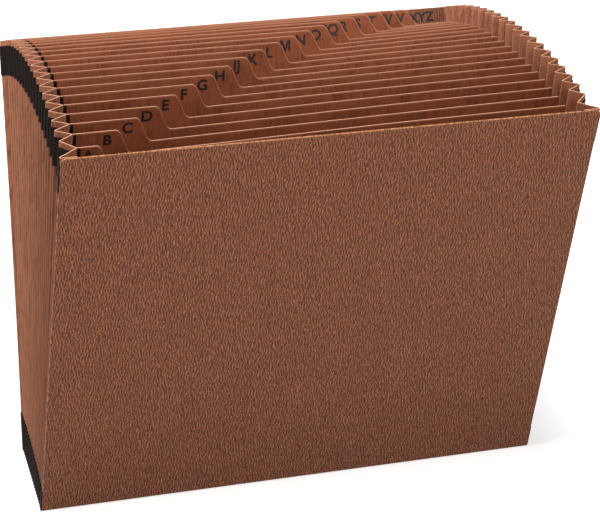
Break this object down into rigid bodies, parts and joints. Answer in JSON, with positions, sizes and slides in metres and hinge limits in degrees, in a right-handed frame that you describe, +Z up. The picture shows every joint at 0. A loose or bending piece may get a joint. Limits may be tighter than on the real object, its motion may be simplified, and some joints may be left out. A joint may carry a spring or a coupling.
{
  "type": "expanding file",
  "caption": "Open-topped accordion file fanned open: two grained boards, a pleated paper gusset, stepped index dividers and cloth tapes.",
  "frame": {"origin": "middle of the footprint of the whole opened file, on the ground", "axes": "+X to the right along the boards, +Y to the back board, +Z up"},
  "size_m": [0.3292, 0.2768, 0.254],
  "materials": {
    "board": "leather-grained brown pressboard with a worn tan top edge",
    "gusset_paper": "red-brown fibrous gusset paper",
    "divider_paper": "red-brown fibrous divider paper with black index letters",
    "cloth_tape": "black woven cloth tape"
  },
  "bodies": {
    "root": {"front_cover": "board", "back_cover": "board", "gusset": "gusset_paper", "divider_01": "divider_paper", "divider_02": "divider_paper", "divider_03": "divider_paper", "divider_04": "divider_paper", "divider_05": "divider_paper", "divider_06": "divider_paper", "divider_07": "divider_paper", "divider_08": "divider_paper", "divider_09": "divider_paper", "divider_10": "divider_paper", "divider_11": "divider_paper", "divider_12": "divider_paper", "divider_13": "divider_paper", "divider_14": "divider_paper", "divider_15": "divider_paper", "divider_16": "divider_paper", "divider_17": "divider_paper", "divider_18": "divider_paper", "divider_19": "divider_paper", "divider_20": "divider_paper", "top_tape_left": "cloth_tape", "top_tape_right": "cloth_tape", "corner_tape_left": "cloth_tape", "corner_tape_right": "cloth_tape"}
  },
  "joints": []
}
